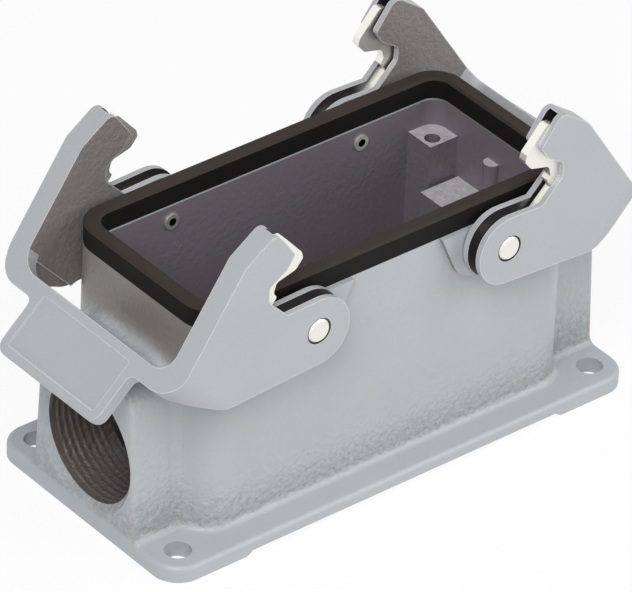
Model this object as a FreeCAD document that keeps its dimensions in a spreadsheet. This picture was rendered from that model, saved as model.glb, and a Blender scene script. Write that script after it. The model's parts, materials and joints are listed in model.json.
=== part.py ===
import FreeCAD, Part
import math
import os
import Sketcher

# Surface mounting housing of a heavy duty rectangular connector, with two locking levers.
# Frame: X runs along the housing, with the cable entry at -X; Y runs across it; Z is up.
# The origin is the centre of the flange's underside. Millimetres.

Vector = FreeCAD.Vector
Rotation = FreeCAD.Rotation
Placement = FreeCAD.Placement

X_AXIS = Vector(1, 0, 0)
Y_AXIS = Vector(0, 1, 0)
Z_AXIS = Vector(0, 0, 1)

# Every size that can be set by itself: name, value and what it is.
SIZES = [
    ("flange_length", 117.0, "flange, overall length"),
    ("flange_width", 57.0, "flange, overall width"),
    ("flange_thickness", 3.5, "flange, underside to top face"),
    ("flange_corner", 6.0, "flange, corner radius"),
    ("flange_edge", 1.0, "flange and end bosses, radius of the outer edges"),
    ("root_radius", 1.6, "foot of the wall and bosses on the flange, radius"),
    ("foot_relief", 1.0, "hollow under the flange between the two end feet, depth"),
    ("foot_inner", 38.5, "distance from the middle to where an end foot starts"),
    ("hole_pitch_long", 105.0, "fixing holes, pitch along the housing"),
    ("hole_pitch_short", 45.0, "fixing holes, pitch across the housing"),
    ("hole_diameter", 5.5, "fixing holes, diameter"),
    ("body_length", 93.5, "upright wall, outer length at the rim"),
    ("body_width", 43.0, "upright wall, outer width at the rim"),
    ("body_corner", 7.0, "upright wall, outer corner radius at the rim"),
    ("rim_height", 50.5, "rim above the underside"),
    ("wall_draft", 0.4, "draft of the upright wall, degrees"),
    ("wall", 3.4, "upright wall, thickness at the rim"),
    ("floor_top", 3.5, "floor of the cavity above the underside"),
    ("boss_width", 32.6, "end bosses, width at their foot"),
    ("boss_top_width", 28.4, "end bosses, width at their top before rounding"),
    ("boss_top", 39.5, "end bosses, top above the underside"),
    ("boss_round", 8.0, "end bosses, radius of the upper corners"),
    ("boss_blend", 3.5, "end bosses, radius of the blend into the wall"),
    ("entry_diameter", 26.2, "cable entry, core diameter of its thread"),
    ("entry_height", 18.3, "cable entry, axis above the underside"),
    ("entry_chamfer", 1.5, "cable entry, chamfer at the mouth"),
    ("insert_pitch_long", 77.5, "insert fixing holes, pitch along the housing"),
    ("insert_pitch_short", 27.0, "insert fixing holes, pitch across the housing"),
    ("insert_hole", 3.3, "insert fixing holes, core diameter"),
    ("insert_hole_depth", 9.0, "insert fixing holes, depth"),
    ("column_size", 7.0, "corner columns, side"),
    ("column_drop", 6.3, "corner columns, top below the rim"),
    ("rib_radius", 1.7, "half round guide ribs on the end walls, radius"),
    ("ledge_top", 35.0, "inner ledge behind the closed boss, top above the underside"),
    ("ledge_width", 20.6, "inner ledge, width"),
    ("ledge_start", 33.6, "inner ledge, distance of its edge from the middle"),
    ("groove_width", 1.4, "gasket groove in the rim, width"),
    ("groove_depth", 1.2, "gasket groove in the rim, depth"),
    ("gasket_height", 4.7, "rim gasket, height above the rim"),
    ("gasket_edge", 0.5, "rim gasket, chamfer of the upper edges"),
    ("pin_spacing", 47.75, "pivot pins, distance between the two axes"),
    ("pin_drop", 3.95, "pivot pins, axis below the rim"),
    ("pin_diameter", 5.3, "pivot pins, shoulder that the lever turns on"),
    ("stem_diameter", 3.4, "pivot pins, stem pressed in the wall"),
    ("stem_bore", 1.7, "pivot pins, bore of the peened inner end"),
    ("pin_edge", 0.4, "pivot pins, chamfer of the outer end"),
    ("pin_proud", 0.15, "pivot pins, how far they stand out of the lever"),
    ("pin_clearance", 0.08, "running clearance round a pivot pin, on the radius"),
    ("pad_stand", 1.1, "pivot pads, how far they stand out of the wall at the rim"),
    ("pad_radius", 7.6, "pivot pads, half width below the pin"),
    ("pad_round", 6.1, "pivot pads, radius of the lower corners"),
    ("pad_spread", 12.8, "pivot pads, half width at the rim"),
    ("side_gap", 0.3, "gap between a pivot pad and the lever"),
    ("arm_thickness", 5.0, "lever arm, over both plates"),
    ("slot_width", 2.4, "slot between the two plates of an arm"),
    ("lobe_radius", 7.5, "lever arm, radius of the lobe round the pin"),
    ("tab_slope", 43.0, "slope of the cross bar and tab, degrees"),
    ("tab_offset", 23.0, "top face of the cross bar, distance from the pin axis"),
    ("bar_thickness", 2.6, "cross bar and tab, thickness"),
    ("bar_inner", 24.1, "inner edge of the cross bar, along its slope from the pin"),
    ("bar_outer", 28.0, "outer edge of the cross bar, along its slope from the pin"),
    ("bar_inner_corner", 4.5, "radius between the cross bar and the arms, inside"),
    ("bar_outer_corner", 6.5, "radius between the cross bar and the arms, outside"),
    ("tab_end", 39.9, "end of the tab, along its slope from the pin"),
    ("tab_width", 31.0, "thumb tab, width"),
    ("tab_corner", 2.5, "thumb tab, corner radius"),
    ("tab_root", 1.6, "radius between the thumb tab and the cross bar"),
    ("tab_edge", 0.8, "thumb tab, radius of its end edges"),
    ("panel_margin", 2.0, "shallow panel of the tab, distance from the edges"),
    ("panel_corner", 0.8, "shallow panel of the tab, corner radius"),
    ("panel_depth", 0.35, "shallow panel of the tab, depth"),
    ("crook_radius", 3.0, "lever, radius between the cross bar's top and the arm"),
    ("shoulder_out", 18.9, "lever shoulder, outward of the pin"),
    ("shoulder_up", 22.0, "lever shoulder, above the pin"),
    ("shoulder_radius", 1.5, "lever shoulder, radius"),
    ("nose_top_out", 11.6, "top of the lever's nose, outward of the pin"),
    ("nose_top_up", 27.2, "top of the lever's nose, above the pin"),
    ("nose_top_radius", 2.0, "top of the lever's nose, radius"),
    ("nose_tip_out", 6.8, "tip of the lever's nose, outward of the pin"),
    ("nose_tip_up", 20.6, "tip of the lever's nose, above the pin"),
    ("nose_tip_radius", 0.9, "tip of the lever's nose, radius"),
    ("nose_depth", 2.9, "underside of the lever's nose, below its tip"),
    ("nose_set", 1.9, "underside of the lever's nose, outward of its tip"),
    ("throat_out", 12.8, "lever throat, depth outward of the pin"),
    ("throat_low", 11.8, "lever throat, lower corner above the pin"),
    ("throat_high", 15.1, "lever throat, upper corner above the pin"),
    ("throat_radius", 1.5, "lever throat, corner radius"),
    ("foot_out", 8.0, "dip between a lever's throat and its lobe, outward of the pin"),
    ("foot_up", 6.9, "dip between a lever's throat and its lobe, above the pin"),
    ("foot_radius", 0.5, "dip between a lever's throat and its lobe, radius"),
    ("heel_out", 22.5, "lowest point of the lever's underside, outward of the pin"),
    ("heel_drop", 1.8, "lowest point of the lever's underside, below the lobe"),
    ("heel_radius", 6.0, "lever heel, radius"),
    ("knee_radius", 4.0, "lever, radius under the outer edge of the cross bar"),
    ("spine", 3.0, "web that joins the two plates of an arm, thickness"),
    ("spine_radius", 3.0, "web that joins the two plates of an arm, inner radius"),
    ("crook_depth", 4.8, "web at the crook, in from the bar's inner edge and its top"),
    ("shoulder_depth", 2.7, "web at the shoulder, inward of it"),
    ("shoulder_fall", 1.2, "web at the shoulder, below it"),
    ("heel_rise", 3.6, "web at the heel, above it"),
    ("slot_foot", 4.0, "slot, where its opening under the lobe starts, outward of the pin"),
    ("hook_gap", 0.5, "gap between a latch hook and the inner plate of its arm"),
    ("hook_eye", 1.3, "latch hook, wall of the eye round the pin"),
    ("hook_tip_out", 3.8, "latch hook, tip outward of the pin"),
    ("hook_tip_up", 17.9, "latch hook, tip above the pin"),
    ("hook_beak_rise", 1.5, "latch hook, height of the beak's front"),
    ("hook_beak_set", 0.4, "latch hook, top of the beak's front behind the tip"),
    ("hook_chin_drop", 2.1, "latch hook, underside of the beak below the tip"),
    ("hook_chin_set", 1.7, "latch hook, underside of the beak behind the tip"),
    ("hook_top_out", 8.9, "latch hook, front of its top outward of the pin"),
    ("hook_top_up", 24.7, "latch hook, top above the pin"),
    ("hook_top_width", 2.0, "latch hook, width of its top"),
    ("hook_throat_out", 10.7, "latch hook, depth of its throat outward of the pin"),
    ("hook_throat_up", 14.6, "latch hook, top of its throat above the pin"),
    ("hook_lip_up", 11.2, "latch hook, lip at the foot of its throat above the pin"),
    ("hook_lip_stand", 0.8, "latch hook, how far the lip stands into the throat"),
    ("hook_tail_out", 11.4, "latch hook, tail below the lip, outward of the pin"),
    ("hook_tail_up", 9.3, "latch hook, tail below the lip, above the pin"),
    ("hook_back_out", 15.0, "latch hook, back edge outward of the pin"),
    ("hook_back_up", 14.0, "latch hook, widest point of its back above the pin"),
    ("hook_neck_up", 5.6, "latch hook, neck over the eye, above the pin"),
    ("hook_corner", 0.4, "latch hook, radius of its sharp corners"),
    ("hook_round", 1.2, "latch hook, radius of its soft corners"),
]


class Size:
    """A length with its value and the words that bind it to the sheet."""

    def __init__(self, value, words):
        self.value = value
        self.words = words

    def join(self, other, sign, result):
        other_words = other.words if isinstance(other, Size) else repr(float(other))
        return Size(result, f"({self.words} {sign} {other_words})")

    def __add__(self, other):
        return self.join(other, "+", self.value + number(other))

    def __sub__(self, other):
        return self.join(other, "-", self.value - number(other))

    def __mul__(self, other):
        return self.join(other, "*", self.value * number(other))

    def __truediv__(self, other):
        return self.join(other, "/", self.value / number(other))

    def __neg__(self):
        return self * -1


def number(length):
    """The plain value of a length or number."""
    return length.value if isinstance(length, Size) else length


def words(length):
    """The expression of a length or number."""
    return length.words if isinstance(length, Size) else repr(float(length))


doc = FreeCAD.newDocument("surface_mounting_housing")
sheet = doc.addObject("Spreadsheet::Sheet", "Sizes")
size = {}
for row, (name, value, meaning) in enumerate(SIZES, start=1):
    sheet.set(f"A{row}", meaning)
    sheet.set(f"B{row}", str(value))
    sheet.setAlias(f"B{row}", name)
    size[name] = Size(value, f"Sizes.{name}")
doc.recompute()

LEFT, RIGHT = -1, 1
FRONT, BACK = -1, 1
SIDE_NAMES = {LEFT: "left", RIGHT: "right"}
DEPTH_NAMES = {FRONT: "front", BACK: "back"}
# Longer than the whole part, for cuts that go right through.
THROUGH = 200.0
# How far a cut that opens a piece runs past its metal.
OVERRUN = 6.0
# Closer than this, a point counts as lying on a plane.
TOUCH = 0.01
# The share of its half width that a full end is rounded by, which leaves a short flat.
ROUND_SHARE = 0.98

# Lengths that follow from the sizes above.
half_length = size["body_length"] / 2
half_width = size["body_width"] / 2
wall_lean = Size(
    number(size["rim_height"]) * math.tan(math.radians(number(size["wall_draft"]))),
    "(Sizes.rim_height * tan(Sizes.wall_draft * 1 deg))",
)
column_top = size["rim_height"] - size["column_drop"]
pin_height = size["rim_height"] - size["pin_drop"]
pin_x = size["pin_spacing"] / 2
pad_face = half_width + size["pad_stand"]
arm_inner = pad_face + size["side_gap"]
arm_outer = arm_inner + size["arm_thickness"]
arm_middle = arm_inner + size["arm_thickness"] / 2
pin_radius = size["pin_diameter"] / 2
eye_bore = pin_radius + size["pin_clearance"]


def new_body(label):
    """An empty body for one sub-part."""
    body = doc.addObject("PartDesign::Body", label)
    body.Label = label
    return body


def new_sketch(body, plane, offset=None):
    """A sketch on one of the body's own origin planes."""
    sketch = body.newObject("Sketcher::SketchObject", f"{body.Name}_sketch")
    support = next(item for item in body.Origin.OriginFeatures if item.Role == plane)
    sketch.AttachmentSupport = (support, [""])
    sketch.MapMode = "FlatFace"
    if offset is not None:
        sketch.AttachmentOffset = offset
    return sketch


def apply_rules(sketch, rules):
    """Adds constraints to a sketch in one go and ties the driven ones to the sheet."""
    indices = sketch.addConstraint([rule[0] for rule in rules])
    for index, rule in zip(indices, rules):
        if len(rule) > 1 and isinstance(rule[1], Size):
            sketch.setExpression(f"Constraints[{index}]", rule[1].words)


def place_rules(geometry, end, corner):
    """Rules that tie one point of a sketch to its place."""
    x, y = corner[0], corner[1]
    return [
        (Sketcher.Constraint("DistanceX", -1, 1, geometry, end, number(x)), x),
        (Sketcher.Constraint("DistanceY", -1, 1, geometry, end, number(y)), y),
    ]


def draw_outline(sketch, corners):
    """Draws a closed outline of (x, y) or (x, y, radius) corners, bound to the sheet."""
    points = [Vector(number(c[0]), number(c[1]), 0) for c in corners]
    radii = [number(c[2]) if len(c) > 2 else 0.0 for c in corners]
    count = len(corners)
    trims = []
    for i in range(count):
        before = (points[i - 1] - points[i]).normalize()
        after = (points[(i + 1) % count] - points[i]).normalize()
        trim = radii[i] / math.tan(before.getAngle(after) / 2)
        trims.append((points[i] + before * trim, points[i] + after * trim))
    sides = [Part.LineSegment(trims[i][1], trims[(i + 1) % count][0]) for i in range(count)]
    lines = sketch.addGeometry(sides, False)
    rules = []
    for i in range(count):
        line_in, line_out = lines[i - 1], lines[i]
        if radii[i]:
            rules += round_rules(sketch, points[i], trims[i], corners[i], (line_in, line_out))
        else:
            rules.append((Sketcher.Constraint("Coincident", line_in, 2, line_out, 1),))
            rules += place_rules(line_out, 1, corners[i])
    apply_rules(sketch, rules)


def round_rules(sketch, point, trim, corner, lines):
    """Draws the arc of one rounded corner and gives the rules that keep it tangent."""
    line_in, line_out = lines
    start, end = trim
    radius = number(corner[2])
    bisector = ((start - point) + (end - point)).normalize()
    centre = point + bisector * math.hypot(radius, start.distanceToPoint(point))
    arc = sketch.addGeometry(Part.Arc(start, centre - bisector * radius, end), False)
    near_end = sketch.getPoint(arc, 1).distanceToPoint(start)
    far_end = sketch.getPoint(arc, 2).distanceToPoint(start)
    turned = near_end > far_end
    first, last = (2, 1) if turned else (1, 2)
    mark = sketch.addGeometry(Part.Point(point), True)
    return [
        (Sketcher.Constraint("Tangent", line_in, 2, arc, first),),
        (Sketcher.Constraint("Tangent", arc, last, line_out, 1),),
        (Sketcher.Constraint("Radius", arc, radius), corner[2]),
        (Sketcher.Constraint("PointOnObject", mark, 1, line_in),),
        (Sketcher.Constraint("PointOnObject", mark, 1, line_out),),
    ] + place_rules(mark, 1, corner)


def draw_circle(sketch, x, y, radius):
    """Draws a full circle, bound to the sheet."""
    centre = Vector(number(x), number(y), 0)
    circle = sketch.addGeometry(Part.Circle(centre, Z_AXIS, number(radius)), False)
    rules = [(Sketcher.Constraint("Radius", circle, number(radius)), radius)]
    apply_rules(sketch, rules + place_rules(circle, 3, (x, y)))


def rectangle(x_low, x_high, y_low, y_high, radius=None):
    """The four corners of a rectangle, rounded if a radius is given."""
    corners = [(x_low, y_low), (x_high, y_low), (x_high, y_high), (x_low, y_high)]
    return [c + (radius,) for c in corners] if radius is not None else corners


def pad(body, sketch, length, both_ways=False, reverse=False):
    """Raises a sketch by a length, half each way if asked."""
    feature = body.newObject("PartDesign::Pad", f"{body.Name}_pad")
    feature.Profile = sketch
    feature.Length = number(length)
    if isinstance(length, Size):
        feature.setExpression("Length", length.words)
    feature.Midplane = both_ways
    feature.Reversed = reverse
    return feature


def pocket(body, sketch, length, both_ways=False, reverse=False):
    """Cuts a sketch by a length, half each way if asked."""
    feature = body.newObject("PartDesign::Pocket", f"{body.Name}_pocket")
    feature.Profile = sketch
    feature.Length = number(length)
    if isinstance(length, Size):
        feature.setExpression("Length", length.words)
    feature.Midplane = both_ways
    feature.Reversed = reverse
    return feature


def edges_where(shape, test, middle_test=None):
    """Names of the edges whose ends and middle pass the test, and the middle a second one."""
    names = []
    for index, edge in enumerate(shape.Edges, start=1):
        middle = edge.valueAt((edge.FirstParameter + edge.LastParameter) / 2)
        places = [vertex.Point for vertex in edge.Vertexes] + [middle]
        if all(test(place) for place in places) and (middle_test is None or middle_test(middle)):
            names.append(f"Edge{index}")
    return names


def fillet(body, test, radius, middle_test=None):
    """Rounds the edges of the body's tip that pass the tests."""
    feature = edge_feature(body, "Fillet", test, middle_test)
    feature.Radius = number(radius)
    feature.setExpression("Radius", radius.words)


def chamfer(body, test, width, middle_test=None):
    """Cuts the edges of the body's tip that pass the tests at 45 degrees."""
    feature = edge_feature(body, "Chamfer", test, middle_test)
    feature.Size = number(width)
    feature.setExpression("Size", width.words)


def edge_feature(body, kind, test, middle_test):
    """A fillet or chamfer on the edges of the body's tip that pass the tests."""
    doc.recompute()
    base = body.Tip
    names = edges_where(base.Shape, test, middle_test)
    if not names:
        raise ValueError(f"no edge to work on {body.Label}")
    feature = body.newObject(f"PartDesign::{kind}", f"{body.Name}_{kind.lower()}")
    feature.Base = (base, names)
    return feature


def near(value, target):
    """True where a coordinate lies on a target plane."""
    return abs(value - number(target)) < TOUCH


def on_plane_z(height):
    """An offset that lifts a sketch on the XY plane."""
    return Placement(Vector(0, 0, number(height)), Rotation())


def build_housing():
    """The die cast housing."""
    body = new_body("housing_casting")
    add_flange(body)
    add_wall(body)
    add_end_bosses(body)
    round_outside(body)
    for side in (LEFT, RIGHT):
        for depth in (FRONT, BACK):
            add_pivot_pad(body, side, depth)
    cut_cavity(body)
    add_inner_forms(body)
    cut_holes(body)
    return body


def add_flange(body):
    """The mounting flange."""
    sketch = new_sketch(body, "XY_Plane")
    half_x = size["flange_length"] / 2
    half_y = size["flange_width"] / 2
    draw_outline(sketch, rectangle(-half_x, half_x, -half_y, half_y, size["flange_corner"]))
    pad(body, sketch, size["flange_thickness"])


def add_wall(body):
    """The upright wall as a drafted block."""
    sketch = new_sketch(body, "XY_Plane")
    x = half_length + wall_lean
    y = half_width + wall_lean
    draw_outline(sketch, rectangle(-x, x, -y, y, size["body_corner"] + wall_lean))
    upright = pad(body, sketch, size["rim_height"])
    upright.TaperAngle = -number(size["wall_draft"])
    upright.setExpression("TaperAngle", "-Sizes.wall_draft")


def add_end_bosses(body):
    """Both end bosses, flush with the flange's ends, with rounded upper corners."""
    sketch = new_sketch(body, "YZ_Plane")
    foot = size["boss_width"] / 2
    head = size["boss_top_width"] / 2
    draw_outline(
        sketch,
        [
            (-foot, 0.0),
            (foot, 0.0),
            (head, size["boss_top"], size["boss_round"]),
            (-head, size["boss_top"], size["boss_round"]),
        ],
    )
    pad(body, sketch, size["flange_length"], both_ways=True)


def round_outside(body):
    """Blends the bosses into the wall and the walls into the flange, and rounds the outer edges."""
    end_x = number(size["flange_length"]) / 2
    end_y = number(size["flange_width"]) / 2
    corner = number(size["flange_corner"])
    floor = number(size["flange_thickness"])
    boss_top = number(size["boss_top"])
    rim_x = number(half_length)
    foot_x = number(half_length + wall_lean)

    def on_boss_joint(place):
        on_boss = floor - TOUCH < place.z < boss_top + TOUCH
        return on_boss and rim_x - TOUCH < abs(place.x) < foot_x + TOUCH

    def on_flange_corner(place):
        return abs(place.x) > end_x - corner + TOUCH and abs(place.y) > end_y - corner + TOUCH

    def on_outline(place):
        return near(abs(place.x), end_x) or near(abs(place.y), end_y) or on_flange_corner(place)

    fillet(body, on_boss_joint, size["boss_blend"], lambda p: p.z > floor + TOUCH)
    fillet(body, lambda p: near(p.z, floor), size["root_radius"], lambda p: not on_outline(p))
    fillet(body, lambda p: p.z > floor - TOUCH and on_outline(p), size["flange_edge"])


def add_pivot_pad(body, side, depth):
    """The cast pad behind one pivot: wide at the rim, round below the pin."""
    stand = Placement(Vector(0, 0, -depth * number(pad_face)), Rotation())
    sketch = new_sketch(body, "XZ_Plane", stand)
    sketch.setExpression("AttachmentOffset.Base.z", words(pad_face * -depth))
    centre = pin_x * side
    spread = size["pad_spread"]
    top = size["rim_height"]
    low = pin_height - size["pad_radius"]
    draw_outline(
        sketch,
        [
            (centre - spread, top),
            (centre - size["pad_radius"], low, size["pad_round"]),
            (centre + size["pad_radius"], low, size["pad_round"]),
            (centre + spread, top),
        ],
    )
    pad(body, sketch, size["pad_stand"] + size["wall"] / 2, reverse=depth == FRONT)


def cut_cavity(body):
    """The hollow for the contact insert, with the groove for the gasket in the rim."""
    rim = on_plane_z(size["rim_height"])
    inner_x = half_length - size["wall"]
    inner_y = half_width - size["wall"]
    inner_corner = size["body_corner"] - size["wall"]
    cavity = new_sketch(body, "XY_Plane", rim)
    cavity.setExpression("AttachmentOffset.Base.z", "Sizes.rim_height")
    draw_outline(cavity, rectangle(-inner_x, inner_x, -inner_y, inner_y, inner_corner))
    pocket(body, cavity, size["rim_height"] - size["floor_top"])
    groove = new_sketch(body, "XY_Plane", rim)
    groove.setExpression("AttachmentOffset.Base.z", "Sizes.rim_height")
    draw_groove_ring(groove, size["groove_width"])
    pocket(body, groove, size["groove_depth"])


def draw_groove_ring(sketch, width):
    """A ring of the given width along the middle of the wall."""
    for edge in (width / 2, -(width / 2)):
        inset = size["wall"] / 2 - edge
        x = half_length - inset
        y = half_width - inset
        draw_outline(sketch, rectangle(-x, x, -y, y, size["body_corner"] - inset))


def add_inner_forms(body):
    """Corner columns, guide ribs and the ledge inside the cavity."""
    inner_x = half_length - size["wall"]
    inner_y = half_width - size["wall"]
    bury = size["wall"] / 2
    columns = new_sketch(body, "XY_Plane")
    for x_side in (LEFT, RIGHT):
        for y_side in (FRONT, BACK):
            xs = sorted([(inner_x + bury) * x_side, (inner_x - size["column_size"]) * x_side], key=number)
            ys = sorted([(inner_y + bury) * y_side, (inner_y - size["column_size"]) * y_side], key=number)
            draw_outline(columns, rectangle(xs[0], xs[1], ys[0], ys[1]))
    pad(body, columns, column_top)
    ribs = new_sketch(body, "XY_Plane")
    for x_side in (LEFT, RIGHT):
        draw_circle(ribs, (inner_x - size["rib_radius"] / 4) * x_side, 0.0, size["rib_radius"])
    pad(body, ribs, column_top)
    ledge = new_sketch(body, "XY_Plane")
    half_ledge = size["ledge_width"] / 2
    draw_outline(ledge, rectangle(size["ledge_start"], inner_x + bury, -half_ledge, half_ledge))
    pad(body, ledge, size["ledge_top"])


def cut_holes(body):
    """Cable entry, fixing holes, insert holes, pin seats and the hollow under the flange."""
    cut_entry(body)
    fixing = new_sketch(body, "XY_Plane")
    for x_side in (LEFT, RIGHT):
        for y_side in (FRONT, BACK):
            x = size["hole_pitch_long"] / 2 * x_side
            y = size["hole_pitch_short"] / 2 * y_side
            draw_circle(fixing, x, y, size["hole_diameter"] / 2)
    pocket(body, fixing, THROUGH, both_ways=True)

    insert = new_sketch(body, "XY_Plane", on_plane_z(column_top))
    insert.setExpression("AttachmentOffset.Base.z", words(column_top))
    for x_side in (LEFT, RIGHT):
        for y_side in (FRONT, BACK):
            x = size["insert_pitch_long"] / 2 * x_side
            y = size["insert_pitch_short"] / 2 * y_side
            draw_circle(insert, x, y, size["insert_hole"] / 2)
    pocket(body, insert, size["insert_hole_depth"])

    seats = new_sketch(body, "XZ_Plane")
    for side in (LEFT, RIGHT):
        draw_circle(seats, pin_x * side, pin_height, size["stem_diameter"] / 2)
    pocket(body, seats, THROUGH, both_ways=True)

    relief = new_sketch(body, "XZ_Plane")
    slope = size["foot_relief"] * 1.5
    draw_outline(
        relief,
        [
            (-(size["foot_inner"] + slope), 0.0),
            (size["foot_inner"] + slope, 0.0),
            (size["foot_inner"], size["foot_relief"]),
            (-size["foot_inner"], size["foot_relief"]),
        ],
    )
    pocket(body, relief, THROUGH, both_ways=True)


def cut_entry(body):
    """The round cable entry with its broken outer edge."""
    end = size["flange_length"] / 2
    radius = size["entry_diameter"] / 2
    height = size["entry_height"]
    chamfer = size["entry_chamfer"]
    inner_end = half_length - size["wall"] * 2
    sketch = new_sketch(body, "XZ_Plane")
    draw_outline(
        sketch,
        [
            (-end, height),
            (-end, height + radius + chamfer),
            (-end + chamfer, height + radius),
            (-inner_end, height + radius),
            (-inner_end, height),
        ],
    )
    axis = body.newObject("PartDesign::Line", "entry_axis")
    axis.Placement = Placement(Vector(0, 0, number(height)), Rotation(Z_AXIS, X_AXIS))
    axis.setExpression("Placement.Base.z", words(height))
    groove = body.newObject("PartDesign::Groove", "entry_mouth")
    groove.Profile = sketch
    groove.ReferenceAxis = (axis, [""])
    groove.Angle = 360


def build_gasket():
    """The rubber ring: a flat band with a tongue that fills the groove."""
    body = new_body("rim_gasket")
    rim = on_plane_z(size["rim_height"])
    band = new_sketch(body, "XY_Plane", rim)
    band.setExpression("AttachmentOffset.Base.z", "Sizes.rim_height")
    for inset in (0.0, size["wall"]):
        x = half_length - inset
        y = half_width - inset
        draw_outline(band, rectangle(-x, x, -y, y, size["body_corner"] - inset))
    pad(body, band, size["gasket_height"])
    top = number(size["rim_height"] + size["gasket_height"])
    chamfer(body, lambda p: near(p.z, top), size["gasket_edge"])
    tongue = new_sketch(body, "XY_Plane", rim)
    tongue.setExpression("AttachmentOffset.Base.z", "Sizes.rim_height")
    draw_groove_ring(tongue, size["groove_width"])
    pad(body, tongue, size["groove_depth"], reverse=True)
    return body


def build_pin(side, depth):
    """One pivot pin: a shoulder that the lever turns on and a stem with a hollow peened end."""
    body = new_body(f"pivot_pin_{SIDE_NAMES[side]}_{DEPTH_NAMES[depth]}")
    head = arm_outer + size["pin_proud"]
    inner_wall = half_width - size["wall"]
    tail = inner_wall - size["stem_bore"] / 4
    edge = size["pin_edge"]
    stem = size["stem_diameter"] / 2
    sketch = new_sketch(body, "YZ_Plane", Placement(Vector(0, 0, side * number(pin_x)), Rotation()))
    sketch.setExpression("AttachmentOffset.Base.z", words(pin_x * side))
    height = pin_height
    corners = [
        (head, height),
        (head, height + pin_radius - edge),
        (head - edge, height + pin_radius),
        (pad_face, height + pin_radius),
        (pad_face, height + stem),
        (tail, height + stem),
        (tail, height + size["stem_bore"] / 2),
        (tail + size["stem_bore"], height + size["stem_bore"] / 2),
        (tail + size["stem_bore"], height),
    ]
    draw_outline(sketch, [(y * depth, z) for y, z in corners])
    turn = body.newObject("PartDesign::Revolution", f"{body.Name}_turned")
    turn.Profile = sketch
    axis = body.newObject("PartDesign::Line", f"{body.Name}_axis")
    lie = Rotation(Z_AXIS, Y_AXIS)
    axis.Placement = Placement(Vector(number(pin_x * side), 0, number(height)), lie)
    axis.setExpression("Placement.Base.x", words(pin_x * side))
    axis.setExpression("Placement.Base.z", words(height))
    turn.ReferenceAxis = (axis, [""])
    turn.Angle = 360
    body.Tip = turn
    return body


def side_view(side, outline):
    """Corners in the side view from corners given outward and upward of the pin."""
    return [
        ((pin_x + corner[0]) * side, pin_height + corner[1]) + tuple(corner[2:])
        for corner in outline
    ]


def slope_offset(side):
    """Places a sketch on the sloping top face of the cross bar, with its x along the slope."""
    tilt = number(size["tab_slope"])
    turn = Rotation(Y_AXIS, side * tilt)
    if side == LEFT:
        turn = turn.multiply(Rotation(Z_AXIS, 180))
    lean = math.radians(tilt)
    stand = number(size["tab_offset"])
    base = Vector(
        side * (number(pin_x) + stand * math.sin(lean)),
        0,
        number(pin_height) + stand * math.cos(lean),
    )
    return Placement(base, turn)


def on_slope(along, stand):
    """Outward and upward distances from the pin of a point on the bar's slope."""
    lean = math.radians(number(size["tab_slope"]))
    cosine = Size(math.cos(lean), "cos(Sizes.tab_slope)")
    sine = Size(math.sin(lean), "sin(Sizes.tab_slope)")
    return (along * cosine + stand * sine, stand * cosine - along * sine)


def lever_profile(side):
    """The side view of a lever: lobe, heel, tab, shoulder, nose and throat."""
    lobe = size["lobe_radius"]
    top = size["tab_offset"]
    under = top - size["bar_thickness"]
    edge = size["tab_edge"]
    tip_out = size["nose_tip_out"]
    tip_up = size["nose_tip_up"]
    outline = [
        (-lobe, -lobe, lobe * ROUND_SHARE),
        (size["heel_out"], -lobe - size["heel_drop"], size["heel_radius"]),
        on_slope(size["bar_outer"], under) + (size["knee_radius"],),
        on_slope(size["tab_end"], under) + (edge,),
        on_slope(size["tab_end"], top) + (edge,),
        on_slope(size["bar_inner"], top) + (size["crook_radius"],),
        (size["shoulder_out"], size["shoulder_up"], size["shoulder_radius"]),
        (size["nose_top_out"], size["nose_top_up"], size["nose_top_radius"]),
        (tip_out, tip_up, size["nose_tip_radius"]),
        (tip_out + size["nose_set"], tip_up - size["nose_depth"], size["throat_radius"]),
        (size["throat_out"], size["throat_high"], size["throat_radius"]),
        (size["throat_out"], size["throat_low"], size["throat_radius"]),
        (size["foot_out"], size["foot_up"], size["foot_radius"]),
        (-lobe, lobe, lobe * ROUND_SHARE),
    ]
    return side_view(side, outline)


def build_lever(side):
    """One locking lever: two slotted arms, the cross bar and the thumb tab."""
    body = new_body(f"locking_lever_{SIDE_NAMES[side]}")
    profile = new_sketch(body, "XZ_Plane")
    draw_outline(profile, lever_profile(side))
    pad(body, profile, arm_outer * 2, both_ways=True)
    trim_plan(body, side)
    open_bail(body, side)
    hollow_under_bar(body, side)
    for depth in (FRONT, BACK):
        cut_slot(body, side, depth)
    bore = new_sketch(body, "XZ_Plane")
    draw_circle(bore, pin_x * side, pin_height, eye_bore)
    pocket(body, bore, THROUGH, both_ways=True)
    cut_panel(body, side)
    return body


def trim_plan(body, side):
    """Rounds the outer corners of the bail and leaves the tab standing, seen along the slope."""
    sketch = new_sketch(body, "XY_Plane", slope_offset(side))
    beyond = size["tab_end"] + OVERRUN
    outside = arm_outer + OVERRUN
    tab = size["tab_width"] / 2
    end = tab - size["tab_corner"] * 2
    outer_corner = size["bar_outer_corner"]
    start = size["bar_outer"] - outer_corner * 2
    for depth in (FRONT, BACK):
        corners = [
            (start, arm_outer),
            (size["bar_outer"], arm_outer, outer_corner),
            (size["bar_outer"], tab, size["tab_root"]),
            (size["tab_end"], tab, size["tab_corner"]),
            (size["tab_end"], end),
            (beyond, end),
            (beyond, outside),
            (start, outside),
        ]
        draw_outline(sketch, [(c[0], c[1] * depth) + tuple(c[2:]) for c in corners])
    pocket(body, sketch, THROUGH, both_ways=True)


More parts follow.
